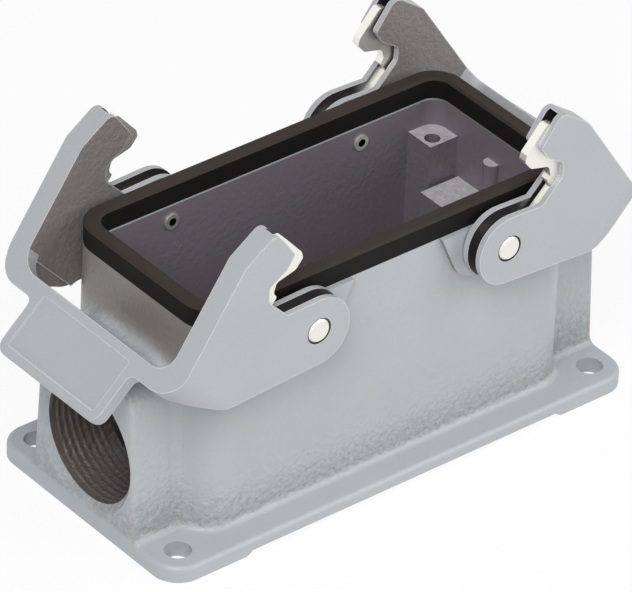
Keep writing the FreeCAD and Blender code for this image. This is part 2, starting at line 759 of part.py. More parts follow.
def open_bail(body, side):
    """Clears the space between the arms up to the cross bar."""
    sketch = new_sketch(body, "XY_Plane", slope_offset(side))
    behind = -(size["lobe_radius"] + size["nose_top_up"] + OVERRUN)
    corners = [
        (behind, -arm_inner),
        (size["bar_inner"], -arm_inner, size["bar_inner_corner"]),
        (size["bar_inner"], arm_inner, size["bar_inner_corner"]),
        (behind, arm_inner),
    ]
    draw_outline(sketch, corners)
    pocket(body, sketch, THROUGH, both_ways=True)


def hollow_under_bar(body, side):
    """Leaves the cross bar as a plate by clearing what is under it, between the arms."""
    sketch = new_sketch(body, "XZ_Plane")
    under = size["tab_offset"] - size["bar_thickness"]
    start = size["bar_inner"] - size["bar_inner_corner"] / 2
    low = under - size["tab_offset"] - OVERRUN
    corners = [
        on_slope(start, under),
        on_slope(size["tab_end"], under),
        on_slope(size["tab_end"], low),
        on_slope(start, low),
    ]
    draw_outline(sketch, side_view(side, corners))
    pocket(body, sketch, arm_inner * 2, both_ways=True)


def cut_slot(body, side, depth):
    """The slot between the two plates of one arm, open to the front of the arm."""
    start = arm_middle - size["slot_width"] / 2
    stand = Placement(Vector(0, 0, -depth * number(start)), Rotation())
    sketch = new_sketch(body, "XZ_Plane", stand)
    sketch.setExpression("AttachmentOffset.Base.z", words(start * -depth))
    spine = size["spine"]
    inner = size["spine_radius"]
    under = -size["lobe_radius"]
    clear = size["lobe_radius"] + OVERRUN
    above = size["nose_top_up"] + OVERRUN
    crook = on_slope(size["bar_inner"] - size["crook_depth"], size["tab_offset"] - size["crook_depth"])
    shoulder_out = size["shoulder_out"] - size["shoulder_depth"]
    shoulder_up = size["shoulder_up"] - size["shoulder_fall"]
    heel_up = under - size["heel_drop"] + size["heel_rise"]
    corners = [
        (size["nose_top_out"], above),
        (size["nose_top_out"], size["nose_top_up"] - size["nose_tip_radius"]),
        (shoulder_out, shoulder_up, size["shoulder_radius"]),
        crook + (inner,),
        (size["heel_out"] + spine / 2, heel_up, inner),
        (size["slot_foot"], under + spine, inner / 3),
        (size["slot_foot"] - spine / 3, -clear),
        (-clear, -clear),
        (-clear, above),
    ]
    draw_outline(sketch, side_view(side, corners))
    pocket(body, sketch, size["slot_width"], reverse=depth == FRONT)


def cut_panel(body, side):
    """The shallow panel in the tab's top face."""
    sketch = new_sketch(body, "XY_Plane", slope_offset(side))
    margin = size["panel_margin"]
    half = size["tab_width"] / 2 - margin
    start = size["bar_inner"] + margin
    end = size["tab_end"] - margin
    draw_outline(sketch, rectangle(start, end, -half, half, size["panel_corner"]))
    pocket(body, sketch, size["panel_depth"])


def hook_profile(side):
    """The side view of a latch hook: eye, back, top, beak, throat with its lip, and tail."""
    eye = eye_bore + size["hook_eye"]
    tip_out = size["hook_tip_out"]
    tip_up = size["hook_tip_up"]
    throat = size["hook_throat_out"]
    lip = size["hook_lip_up"]
    sharp = size["hook_corner"]
    soft = size["hook_round"]
    outline = [
        (-eye, -eye, eye * ROUND_SHARE),
        (eye, -eye, eye * ROUND_SHARE),
        (eye + sharp, pin_radius / 2, soft),
        (size["hook_back_out"] - soft * 2, size["hook_neck_up"], soft * 2),
        (size["hook_back_out"], size["hook_back_up"], soft * 2),
        (size["hook_top_out"] + size["hook_top_width"], size["hook_top_up"] - sharp, soft),
        (size["hook_top_out"], size["hook_top_up"], soft),
        (tip_out + size["hook_beak_set"], tip_up + size["hook_beak_rise"], sharp),
        (tip_out, tip_up, sharp * 2),
        (tip_out + size["hook_chin_set"], tip_up - size["hook_chin_drop"], soft),
        (throat - soft / 2, size["hook_throat_up"], soft),
        (throat, lip + soft, sharp * 2),
        (throat - size["hook_lip_stand"], lip, sharp),
        (size["hook_tail_out"], size["hook_tail_up"], soft / 2),
        (eye + soft * 2, eye + sharp, soft * 2),
        (-eye, eye, eye * ROUND_SHARE),
    ]
    return side_view(side, outline)


def build_hook(side, depth):
    """One latch hook: a flat bright piece with an eye round the pin and a beak in the throat."""
    body = new_body(f"latch_hook_{SIDE_NAMES[side]}_{DEPTH_NAMES[depth]}")
    start = arm_middle - size["slot_width"] / 2 + size["hook_gap"]
    stand = Placement(Vector(0, 0, -depth * number(start)), Rotation())
    sketch = new_sketch(body, "XZ_Plane", stand)
    sketch.setExpression("AttachmentOffset.Base.z", words(start * -depth))
    draw_outline(sketch, hook_profile(side))
    pad(body, sketch, size["slot_width"] - size["hook_gap"], reverse=depth == BACK)
    bore = new_sketch(body, "XZ_Plane")
    draw_circle(bore, pin_x * side, pin_height, eye_bore)
    pocket(body, bore, THROUGH, both_ways=True)
    return body


parts = [build_housing(), build_gasket()]
for side in (LEFT, RIGHT):
    for depth in (FRONT, BACK):
        parts.append(build_pin(side, depth))
for side in (LEFT, RIGHT):
    parts.append(build_lever(side))
    for depth in (FRONT, BACK):
        parts.append(build_hook(side, depth))

doc.recompute()
for item in doc.Objects:
    if "Invalid" in item.State or "Error" in item.State:
        raise ValueError(f"{item.Label} did not build: {item.State}")
os.makedirs("parts", exist_ok=True)
for part in parts:
    shape = part.Shape
    if shape.isNull() or not shape.isValid():
        raise ValueError(f"{part.Label} has no valid shape")
    shape.exportStep(f"parts/{part.Label}.step")
    box = shape.BoundBox
    print(f"{part.Label}: {len(shape.Solids)} solid, {shape.Volume:.0f} mm3, {box}")
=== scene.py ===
import json
import logging
import math
from dataclasses import dataclass, field
from enum import Enum
from typing import NamedTuple

import bmesh
import bpy
from mathutils import Matrix, Vector


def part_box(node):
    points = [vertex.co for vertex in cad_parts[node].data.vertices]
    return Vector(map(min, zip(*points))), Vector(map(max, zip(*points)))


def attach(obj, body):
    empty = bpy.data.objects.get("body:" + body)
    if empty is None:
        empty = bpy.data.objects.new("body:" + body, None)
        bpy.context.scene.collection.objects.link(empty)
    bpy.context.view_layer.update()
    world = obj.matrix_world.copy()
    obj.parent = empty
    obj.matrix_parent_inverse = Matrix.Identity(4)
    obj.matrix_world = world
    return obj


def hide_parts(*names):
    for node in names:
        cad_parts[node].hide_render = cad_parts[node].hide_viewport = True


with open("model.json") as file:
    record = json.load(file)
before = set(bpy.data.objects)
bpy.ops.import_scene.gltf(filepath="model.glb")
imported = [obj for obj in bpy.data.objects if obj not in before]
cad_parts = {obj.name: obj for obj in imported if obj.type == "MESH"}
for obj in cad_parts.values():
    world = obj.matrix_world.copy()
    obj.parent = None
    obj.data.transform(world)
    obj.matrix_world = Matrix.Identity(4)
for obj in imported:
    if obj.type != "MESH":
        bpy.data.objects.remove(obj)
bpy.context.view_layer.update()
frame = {"nodes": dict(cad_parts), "record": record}

log = logging.getLogger("connector_housing")

MM = 0.001
WHITE = "#FFFFFF"

# Settings of the nodes that work sums out, by what they say of their first value.
TIMES = {"operation": "MULTIPLY"}
PLUS = {"operation": "ADD"}
MINUS = {"operation": "SUBTRACT"}
SHARE_OF = {"operation": "DIVIDE"}
SIZE_OF = {"operation": "ABSOLUTE"}
SIDE_OF = {"operation": "SIGN"}
ROOT_OF = {"operation": "SQRT"}
LARGER_OF = {"operation": "MAXIMUM"}
ABOVE = {"operation": "GREATER_THAN"}
BELOW = {"operation": "LESS_THAN"}
NEAR = {"operation": "COMPARE"}
DISTANCE = {"operation": "DISTANCE"}
ALONG = {"operation": "DOT_PRODUCT"}
COLOURS = {"data_type": "RGBA"}
SOFT_STEP = {"interpolation_type": "SMOOTHSTEP"}


class Piece(Enum):
    """How the names of each kind of CAD piece start."""

    CASTING = "housing_casting"
    GASKET = "rim_gasket"
    PIN = "pivot_pin"
    LEVER = "locking_lever"
    HOOK = "latch_hook"


def mount(name: str) -> dict:
    """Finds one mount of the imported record.

    Args:
        name: The mount's name.

    Returns:
        The mount, with its place in metres and its sizes in millimetres.
    """
    return next(item for item in frame["record"]["mounts"] if item["name"] == name)


def body_of(node: str) -> str:
    """The rigid body that a CAD piece belongs to."""
    bodies = frame["record"]["behaviour"]["bodies"]
    return next(body for body, nodes in bodies.items() if node in nodes)


def linear(hex_colour: str) -> tuple[float, float, float, float]:
    """Turns an sRGB hex colour into the linear colour that shaders use.

    Args:
        hex_colour: Six hex digits, with or without a leading hash.

    Returns:
        Red, green, blue and an alpha of one.
    """
    digits = hex_colour.lstrip("#")
    channels = [int(digits[i : i + 2], 16) / 255 for i in (0, 2, 4)]
    return (*[c / 12.92 if c <= 0.04045 else ((c + 0.055) / 1.055) ** 2.4 for c in channels], 1.0)


def per_mm(length: float) -> float:
    """Texture scale for a pattern that repeats about every `length` millimetres."""
    return 1 / (length * MM)


Source = bpy.types.NodeSocket | bpy.types.Node


def add_node(
    tree: bpy.types.NodeTree,
    kind: str,
    settings: dict | None = None,
    inputs: dict | None = None,
) -> bpy.types.Node:
    """Adds one node with its settings and what goes into its sockets.

    Args:
        tree: The tree of a material, the sky or a modifier.
        kind: The node's full type name.
        settings: Properties to set on the node.
        inputs: What each socket gets, by its name or index: a value, a hex colour, another node's
            output, or another node for its first output.

    Returns:
        The new node.
    """
    node = tree.nodes.new(kind)
    for name, value in (settings or {}).items():
        setattr(node, name, value)
    for socket, given in (inputs or {}).items():
        if isinstance(given, bpy.types.Node):
            given = given.outputs[0]
        if isinstance(given, bpy.types.NodeSocket):
            tree.links.new(given, node.inputs[socket])
        elif isinstance(given, str) and given.startswith("#"):
            node.inputs[socket].default_value = linear(given)
        else:
            node.inputs[socket].default_value = given
    return node


@dataclass(frozen=True)
class Pattern:
    """A soft random pattern: the size of its patches, and how many and how strong its finer layers are."""

    length_mm: float
    detail: float = 2.0
    roughness: float = 0.5

    def values(self) -> dict[str, float]:
        """The noise texture's values, with its scale worked out from the real size."""
        return {"Scale": per_mm(self.length_mm), "Detail": self.detail, "Roughness": self.roughness}


class PinPlace(NamedTuple):
    """Where a point lies from its pivot pin, in metres."""

    along: Source
    above: Source
    reach: Source


class Surface:
    """A material in the making, with the place and direction that its patterns read."""

    def __init__(self, name: str) -> None:
        """Starts an empty material.

        Args:
            name: The material's name.
        """
        self.material = bpy.data.materials.new(name)
        self.material.use_nodes = True
        self.tree = self.material.node_tree
        self.tree.nodes.clear()
        coordinates = self.add("TexCoord")
        self.place = coordinates.outputs["Object"]
        self.here = {"Vector": self.place}
        self.axes = self.add("SeparateXYZ", inputs=self.here).outputs
        self.facing = self.add("SeparateXYZ", inputs={"Vector": coordinates.outputs["Normal"]}).outputs

    def add(
        self,
        kind: str,
        settings: dict | None = None,
        inputs: dict | None = None,
    ) -> bpy.types.Node:
        """Adds a shader node to this material, as add_node does, by its short name."""
        return add_node(self.tree, f"ShaderNode{kind}", settings, inputs)

    def inside(self, low: Vector, high: Vector) -> Source:
        """One inside a box and nought outside it.

        Args:
            low: The box's lowest corner in metres.
            high: Its highest corner.

        Returns:
            The mask.
        """
        sides = [
            self.add("Math", NEAR, {0: self.axes[axis], 1: (start + end) / 2, 2: (end - start) / 2})
            for axis, start, end in zip("XYZ", low, high)
        ]
        level = self.add("Math", TIMES, {0: sides[0], 1: sides[1]})
        return self.add("Math", TIMES, {0: level, 1: sides[2]})

    def highlight_edges(self, radius_mm: float, start: float, full: float, samples: int = 6) -> Source:
        """One along sharp edges, fading to nought away from them: where a painted highlight stands for the
        light that the edges catch.

        Args:
            radius_mm: How far from an edge the mask reaches.
            start: How well a rounded edge's direction agrees with the face's where the mask is nought.
            full: How well it agrees where the mask has reached one.
            samples: How finely the edge is looked for.

        Returns:
            The mask.
        """
        plain = self.add("NewGeometry").outputs["Normal"]
        rounded = self.add("Bevel", {"samples": samples}, {"Radius": radius_mm * MM})
        along = self.add("VectorMath", ALONG, {0: plain, 1: rounded}).outputs["Value"]
        limits = {"From Min": start, "From Max": full}
        return self.add("MapRange", SOFT_STEP, limits | {"Value": along})

    def from_pin(self) -> PinPlace:
        """Finds where a point lies from the pivot pin on its side.

        Returns:
            How far outward of the pin, above it and away from its axis the point lies.
        """
        low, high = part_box(f"{Piece.PIN.value}_right_front")
        pin = (low + high) / 2
        outward = self.add("Math", SIZE_OF, {0: self.axes["X"]})
        along = self.add("Math", MINUS, {0: outward, 1: pin.x})
        above = self.add("Math", MINUS, {0: self.axes["Z"], 1: pin.z})
        squares = [self.add("Math", TIMES, {0: part, 1: part}) for part in (along, above)]
        both = self.add("Math", PLUS, {0: squares[0], 1: squares[1]})
        return PinPlace(along, above, self.add("Math", ROOT_OF, {0: both}))

    def finish(
        self,
        colour: Source,
        height: Source,
        roughness: Source | float,
        metallic: float = 0.0,
        specular: float = 0.5,
    ) -> bpy.types.Material:
        """Closes the material with its shader.

        Args:
            colour: The base colour.
            height: The relief's height in metres.
            roughness: How matt it is, a source or a plain number.
            metallic: One for uncoated metal.
            specular: How much a face that isn't metal shines.

        Returns:
            The finished material.
        """
        bump = self.add("Bump", inputs={"Height": height, "Strength": 1.0, "Distance": 1.0})
        shader = self.add(
            "BsdfPrincipled",
            inputs={
                "Base Color": colour,
                "Normal": bump,
                "Metallic": metallic,
                "Roughness": roughness,
                "Specular IOR Level": specular,
            },
        )
        self.add("OutputMaterial", inputs={"Surface": shader})
        return self.material


@dataclass(frozen=True)
class PowderCoat:
    """Grey polyester powder coat, sprayed dry on die cast aluminium and baked.

    It melts level on flat faces and keeps the lumps of orange peel where it lies thick, so the
    eye sees a soft, slightly glossy grey that sparkles a little low on the walls.
    """

    name: str = "powder_coated_die_casting"
    colour: str = "#B3B6BA"
    shade: str = "#AAADB1"
    shading: Pattern = Pattern(22.0)
    roughness: float = 0.38
    peel: Pattern = Pattern(1.3, 2.0, 0.55)
    peel_depth_mm: float = 0.13
    # Powder grains are nearer 0.05 mm: they are drawn ten times as coarse, so that they show.
    grain: Pattern = Pattern(0.5, 3.0, 0.6)
    grain_depth_mm: float = 0.03

    def relief(self, surface: Surface, strength: Source) -> Source:
        """The lumps of the orange peel with the fine grain of the powder on them.

        Args:
            surface: The material in the making.
            strength: How much of them shows.

        Returns:
            The height in metres.
        """
        layers = []
        for pattern, depth in ((self.peel, self.peel_depth_mm), (self.grain, self.grain_depth_mm)):
            lumps = surface.add("TexNoise", inputs=pattern.values() | surface.here)
            height = surface.add("Math", TIMES, {0: lumps, 1: depth * MM})
            layers.append(surface.add("Math", TIMES, {0: height, 1: strength}))
        return surface.add("Math", PLUS, {0: layers[0], 1: layers[1]})

    def tint(self, surface: Surface) -> Source:
        """The grey, which clouds a little towards its shade.

        Args:
            surface: The material in the making.

        Returns:
            The colour.
        """
        clouds = surface.add("TexNoise", inputs=self.shading.values() | surface.here)
        mix = {"Factor": clouds, 6: self.colour, 7: self.shade}
        return surface.add("Mix", COLOURS, mix).outputs[2]


@dataclass(frozen=True)
class CastingCoat(PowderCoat):
    """The housing's coat: rough low on the walls, painted shade inside, painted light on top.

    Inside the hollow, in the cable entry, high on the end walls and in the dips of the peel, the
    colour is darkened as painted shade. The upward tops of the columns, rib and ledge inside the
    hollow are painted pale and mottled: painted light, where light from above falls on them.
    """

    # Painted shade: the darker colour in the dips of the orange peel.
    valley_shade: str = "#9C9E9F"
    valley_shade_pattern: Pattern = Pattern(1.04, 2.0, 0.6)
    valley_from: float = 1.2
    valley_share: float = 0.9
    # Painted shade: the mottled darker colour high on the end walls, under the levers' bails.
    painted_shade: str = "#8E8B89"
    painted_shade_dark: str = "#75716F"
    mottle: Pattern = Pattern(1.0, 4.0, 0.7)
    shade_from_mm: float = 31.0
    shade_full_mm: float = 39.5
    end_from: float = 0.3
    end_full: float = 0.95
    patches: Pattern = Pattern(5.0, 3.0)
    patch_height_mm: float = 5.0
    # Painted shade: the darker colour inside the hollow for the insert.
    cavity: str = "#756E74"
    # Painted shade: the darker colour on the wall of the cable entry.
    bore: str = "#5D5855"
    bore_play_mm: float = 0.05
    bore_from_mm: float = -40.0
    # Painted light: the pale mottled colour of the upward tops inside the hollow, where light from above
    # falls on them.
    lit_top: str = "#E2E1E3"
    lit_top_dark: str = "#9A979B"
    lit_top_pattern: Pattern = Pattern(1.6, 4.0, 0.7)
    level_from: float = 0.9
    wall_mm: float = 3.4
    wall_play_mm: float = 0.3
    floor_from_mm: float = 1.0
    rim_line_mm: float = 0.4
    lit_top_from_mm: float = 34.0
    boss_from_mm: float = 47.0
    boss_extra: float = 0.9
    flange_top_mm: float = 3.8
    rough_by_height_mm: tuple[tuple[float, float], ...] = (
        (3.4, 0.35),
        (4.6, 3.4),
        (9.0, 2.8),
        (17.0, 0.9),
        (30.0, 0.7),
        (38.0, 1.6),
        (50.0, 0.6),
    )

    def strength(self, surface: Surface) -> Source:
        """How rough the coat is at each height above the flange's underside, and on the bosses.

        Args:
            surface: The material in the making.

        Returns:
            The strength of the relief.
        """
        top = self.rough_by_height_mm[-1][0]
        most = max(value for _, value in self.rough_by_height_mm)
        share = surface.add("Math", SHARE_OF, {0: surface.axes["Z"], 1: top * MM})
        ramp = surface.add("ValToRGB", inputs={"Fac": share})
        steps = ramp.color_ramp.elements
        while len(steps) < len(self.rough_by_height_mm):
            steps.new(1.0)
        for step, (height, value) in zip(steps, self.rough_by_height_mm):
            step.position = height / top
            step.color = (value / most,) * 3 + (1.0,)
        wall = surface.add("Math", TIMES, {0: ramp, 1: most})
        outward = surface.add("Math", SIZE_OF, {0: surface.axes["X"]})
        beyond = surface.add("Math", ABOVE, {0: outward, 1: self.boss_from_mm * MM})
        upper = surface.add("Math", ABOVE, {0: surface.axes["Z"], 1: self.flange_top_mm * MM})
        on_boss = surface.add("Math", TIMES, {0: beyond, 1: upper})
        extra = surface.add("Math", TIMES, {0: on_boss, 1: self.boss_extra})
        return surface.add("Math", PLUS, {0: wall, 1: extra})

    def cavity_box(self) -> tuple[Vector, Vector]:
        """Measures the hollow for the insert, up to the line just under the rim.

        Returns:
            Its lowest and highest corners in metres.
        """
        low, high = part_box(Piece.GASKET.value)
        inset = (self.wall_mm - self.wall_play_mm) * MM
        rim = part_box(Piece.CASTING.value)[1].z
        return (
            Vector((low.x + inset, low.y + inset, self.floor_from_mm * MM)),
            Vector((high.x - inset, high.y - inset, rim - self.rim_line_mm * MM)),
        )

    def in_bore(self, surface: Surface) -> Source:
        """One on the wall of the cable entry and nought elsewhere.

        Args:
            surface: The material in the making.

        Returns:
            The mask.
        """
        entry = mount("cable_entry")
        axis = Vector((0.0, entry["pos_m"][1], entry["pos_m"][2]))
        across = surface.add("VectorMath", TIMES, {0: surface.place, 1: (0, 1, 1)})
        reach = surface.add("VectorMath", DISTANCE, {0: across, 1: axis}).outputs["Value"]
        radius = (entry["dims"]["r_mm"] + self.bore_play_mm) * MM
        within = surface.add("Math", BELOW, {0: reach, 1: radius})
        at_end = surface.add("Math", BELOW, {0: surface.axes["X"], 1: self.bore_from_mm * MM})
        return surface.add("Math", TIMES, {0: within, 1: at_end})

    def in_valley_shade(self, surface: Surface, strength: Source) -> Source:
        """One in the dips between the lumps, where the colour is darkened as painted shade.

        Args:
            surface: The material in the making.
            strength: How much of the relief shows.

        Returns:
            The mask.
        """
        dips = surface.add("TexNoise", inputs=self.valley_shade_pattern.values() | surface.here)
        deep = surface.add("Math", TIMES, {0: dips, 1: strength})
        deeper = surface.add("Math", MINUS, {0: deep, 1: self.valley_from})
        share = surface.add("Math", TIMES, {0: deeper, 1: self.valley_share})
        return surface.add("Clamp", inputs={"Value": share})

    def in_end_wall_shade(self, surface: Surface) -> Source:
        """One high on the end walls, with a patchy soft border: where a mottled painted shade stands for
        the shade under the levers' bails.

        Args:
            surface: The material in the making.

        Returns:
            The mask.
        """
        patches = surface.add("TexNoise", inputs=self.patches.values() | surface.here)
        lift = surface.add("Math", TIMES, {0: patches, 1: self.patch_height_mm * MM})
        height = surface.add("Math", MINUS, {0: surface.axes["Z"], 1: lift})
        heights = {"From Min": self.shade_from_mm * MM, "From Max": self.shade_full_mm * MM}
        high_up = surface.add("MapRange", SOFT_STEP, heights | {"Value": height})
        endways = surface.add("Math", SIZE_OF, {0: surface.facing["X"]})
        turns = {"From Min": self.end_from, "From Max": self.end_full}
        facing_out = surface.add("MapRange", SOFT_STEP, turns | {"Value": endways})
        return surface.add("Math", TIMES, {0: facing_out, 1: high_up})

    def material(self) -> bpy.types.Material:
        """Builds the finish's shader.

        Returns:
            The material.
        """
        surface = Surface(self.name)
        strength = self.strength(surface)
        hollow = surface.inside(*self.cavity_box())
        # Painted light: the mask of the upward tops inside the hollow.
        upward = surface.add("Math", ABOVE, {0: surface.facing["Z"], 1: self.level_from})
        raised = surface.add("Math", ABOVE, {0: surface.axes["Z"], 1: self.lit_top_from_mm * MM})
        on_top = surface.add("Math", TIMES, {0: upward, 1: raised})
        lit_top = surface.add("Math", TIMES, {0: on_top, 1: hollow})
        # A mottled painted shade for the end walls, and painted light for the tops inside the hollow.
        painted_shade, lit_top_tone = (
            surface.add(
                "Mix",
                COLOURS,
                {
                    "Factor": surface.add("TexNoise", inputs=pattern.values() | surface.here),
                    6: pale,
                    7: dark,
                },
            ).outputs[2]
            for pattern, pale, dark in (
                (self.mottle, self.painted_shade, self.painted_shade_dark),
                (self.lit_top_pattern, self.lit_top, self.lit_top_dark),
            )
        )
        colour = self.tint(surface)
        # Painted shade in the dips, high on the end walls, inside the hollow and in the cable entry;
        # painted light on the tops inside the hollow.
        for mask, painted in (
            (self.in_valley_shade(surface, strength), self.valley_shade),
            (self.in_end_wall_shade(surface), painted_shade),
            (hollow, self.cavity),
            (lit_top, lit_top_tone),
            (self.in_bore(surface), self.bore),
        ):
            mix = {"Factor": mask, 6: colour, 7: painted}
            colour = surface.add("Mix", COLOURS, mix).outputs[2]
        return surface.finish(colour, self.relief(surface, strength), self.roughness)


@dataclass(frozen=True)
class LeverCoat(PowderCoat):
    """The levers' coat: fine and level outside, painted shade between the arms and in the slots.

    The eye sees pale grey faces, a mottled painted shade where the arms face each other and under
    the cross bar, a painted highlight along the edges, and a nearly black painted shade in the gaps
    between the two plates of an arm and round each pin.
    """

    name: str = "powder_coated_lever"
    colour: str = "#B3B4B7"
    shade: str = "#ABACAF"
    peel_depth_mm: float = 0.08
    # Painted shade: the nearly black colour in the gaps between an arm's two plates, and the painted
    # shadow round each pin.
    slot: str = "#2B2729"
    slot_width_mm: float = 2.4
    slot_play_mm: float = 0.04
    slot_reach_mm: float = 26.0
    # Painted shade: the mottled darker colour where the arms face each other and under the cross bar.
    painted_shade: str = "#8A8584"
    painted_shade_dark: str = "#6F6A69"
    mottle: Pattern = Pattern(1.0, 4.0, 0.7)
    facing_in_roughening: float = 2.0
    # Painted highlight: the pale colour along the edges of the levers.
    painted_highlight: str = "#E4E5E6"
    highlight_mm: float = 0.4
    highlight_from: float = 0.985
    highlight_full: float = 0.88
    highlight_share: float = 0.7
    arm_thickness_mm: float = 5.0
    arm_play_mm: float = 0.1
    flat_from: float = 0.9
    pin_gap_shadow_mm: float = 0.22
    slope_degrees: float = 43.0
    bar_underside_mm: float = 20.35

    def near_reach(self, surface: Surface, distance_mm: float, spread_mm: float) -> Source:
        """One where the distance from the middle plane is near a value, and nought elsewhere.

        Args:
            surface: The material in the making.
            distance_mm: The distance across the housing from its middle plane.
            spread_mm: How far from it still counts.

        Returns:
            The mask.
        """
        reach = surface.add("Math", SIZE_OF, {0: surface.axes["Y"]})
        return surface.add("Math", NEAR, {0: reach, 1: distance_mm * MM, 2: spread_mm * MM})

    def towards_pin(self, surface: Surface, place: PinPlace) -> Source:
        """One on faces that look back at their pivot pin, as the inside of a slot does.

        Args:
            surface: The material in the making.
            place: Where a point lies from its pin.

        Returns:
            The mask.
        """
        side = surface.add("Math", SIDE_OF, {0: surface.axes["X"]})
        turned = surface.add("Math", TIMES, {0: surface.facing["X"], 1: side})
        across = surface.add("Math", TIMES, {0: place.along, 1: turned})
        upward = surface.add("Math", TIMES, {0: place.above, 1: surface.facing["Z"]})
        away = surface.add("Math", PLUS, {0: across, 1: upward})
        looks_back = surface.add("Math", BELOW, {0: away, 1: 0.0})
        close = surface.add("Math", BELOW, {0: place.along, 1: self.slot_reach_mm * MM})
        return surface.add("Math", TIMES, {0: looks_back, 1: close})

    def under_bar(self, surface: Surface, place: PinPlace, inner_mm: float) -> Source:
        """One between the arms and below the plate of the cross bar.

        Args:
            surface: The material in the making.
            place: Where a point lies from its pin.
            inner_mm: The distance of the arms' inner faces from the middle plane.

        Returns:
            The mask.
        """
        lean = math.radians(self.slope_degrees)
        rise = surface.add("Math", TIMES, {0: place.along, 1: math.sin(lean)})
        stand = surface.add("Math", TIMES, {0: place.above, 1: math.cos(lean)})
        height = surface.add("Math", PLUS, {0: rise, 1: stand})
        below = surface.add("Math", BELOW, {0: height, 1: self.bar_underside_mm * MM})
        between = self.near_reach(surface, 0.0, inner_mm)
        return surface.add("Math", TIMES, {0: below, 1: between})

    def material(self) -> bpy.types.Material:
        """Builds the finish's shader.

        Returns:
            The material.
        """
        surface = Surface(self.name)
        place = surface.from_pin()
        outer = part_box(f"{Piece.LEVER.value}_left")[1].y / MM
        inner = outer - self.arm_thickness_mm
        low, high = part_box(f"{Piece.PIN.value}_right_front")
        ring = (high.x - low.x) / 2 + self.pin_gap_shadow_mm * MM
        sideways = surface.add("Math", SIZE_OF, {0: surface.facing["Y"]})
        flat = surface.add("Math", ABOVE, {0: sideways, 1: self.flat_from})
        spread = self.slot_width_mm / 2 + self.slot_play_mm
        plates = self.near_reach(surface, outer - self.arm_thickness_mm / 2, spread)
        back = self.towards_pin(surface, place)
        hidden = surface.add("Math", LARGER_OF, {0: flat, 1: back})
        in_slot = surface.add("Math", TIMES, {0: plates, 1: hidden})
        # Painted shadow: a narrow dark ring round the pin stands for the shadow in its clearance gap.
        pin_gap_shadow = surface.add("Math", BELOW, {0: place.reach, 1: ring})
        gap_shade = surface.add("Math", LARGER_OF, {0: in_slot, 1: pin_gap_shadow})
        arms = self.near_reach(surface, inner, self.arm_play_mm)
        arms_in = surface.add("Math", TIMES, {0: arms, 1: flat})
        under = self.under_bar(surface, place, inner)
        facing_in = surface.add("Math", LARGER_OF, {0: arms_in, 1: under})
        noise = surface.add("TexNoise", inputs=self.mottle.values() | surface.here)
        mix = {"Factor": noise, 6: self.painted_shade, 7: self.painted_shade_dark}
        mottled = surface.add("Mix", COLOURS, mix).outputs[2]
        # Painted highlight along the edges.
        edges = surface.highlight_edges(self.highlight_mm, self.highlight_from, self.highlight_full)
        painted_highlight = surface.add("Math", TIMES, {0: edges, 1: self.highlight_share})
        colour = self.tint(surface)
        # Painted shade between the arms, a painted highlight along the edges, and painted shade in the
        # slots and round the pins.
        for mask, painted in ((facing_in, mottled), (painted_highlight, self.painted_highlight), (gap_shade, self.slot)):
            mix = {"Factor": mask, 6: colour, 7: painted}
            colour = surface.add("Mix", COLOURS, mix).outputs[2]
        extra = surface.add("Math", TIMES, {0: facing_in, 1: self.facing_in_roughening})
        rough = surface.add("Math", PLUS, {0: extra, 1: 1.0})
        return surface.finish(colour, self.relief(surface, rough), self.roughness)


@dataclass(frozen=True)
class MouldedRubber:
    """Moulded nitrile rubber: black sides, and an upper face paler with dust and a painted sheen.

    It is matt and takes hardly any shine, so the eye sees a soft dark band round the rim.
    """

    name: str = "moulded_nitrile_rubber"
    colour: str = "#100E0D"
    # Partly dust and partly painted sheen: the paler colour of the upward faces, where light from above
    # falls.
    dust_and_sheen: str = "#3A3431"
    dust_and_sheen_dark: str = "#2E2927"
    dust_and_sheen_pattern: Pattern = Pattern(7.0, 3.0)
    upward_from: float = 0.5
    roughness: float = 0.72
    specular: float = 0.18
    # The mould's spark texture is nearer 0.1 mm: it is drawn five times as coarse, so that it shows.
    grain: Pattern = Pattern(0.5, 3.0)
    grain_depth_mm: float = 0.02

    def material(self) -> bpy.types.Material:
        """Builds the finish's shader.

        Returns:
            The material.
        """
        surface = Surface(self.name)
        # The upward faces get the paler colour of dust and a painted sheen.
        upward = surface.add("Math", ABOVE, {0: surface.facing["Z"], 1: self.upward_from})
        dust = surface.add("TexNoise", inputs=self.dust_and_sheen_pattern.values() | surface.here)
        mix = {"Factor": dust, 6: self.dust_and_sheen, 7: self.dust_and_sheen_dark}
        dust_and_sheen = surface.add("Mix", COLOURS, mix).outputs[2]
        mix = {"Factor": upward, 6: self.colour, 7: dust_and_sheen}
        colour = surface.add("Mix", COLOURS, mix).outputs[2]
        grain = surface.add("TexNoise", inputs=self.grain.values() | surface.here)
        height = surface.add("Math", TIMES, {0: grain, 1: self.grain_depth_mm * MM})
        return surface.finish(colour, height, self.roughness, specular=self.specular)


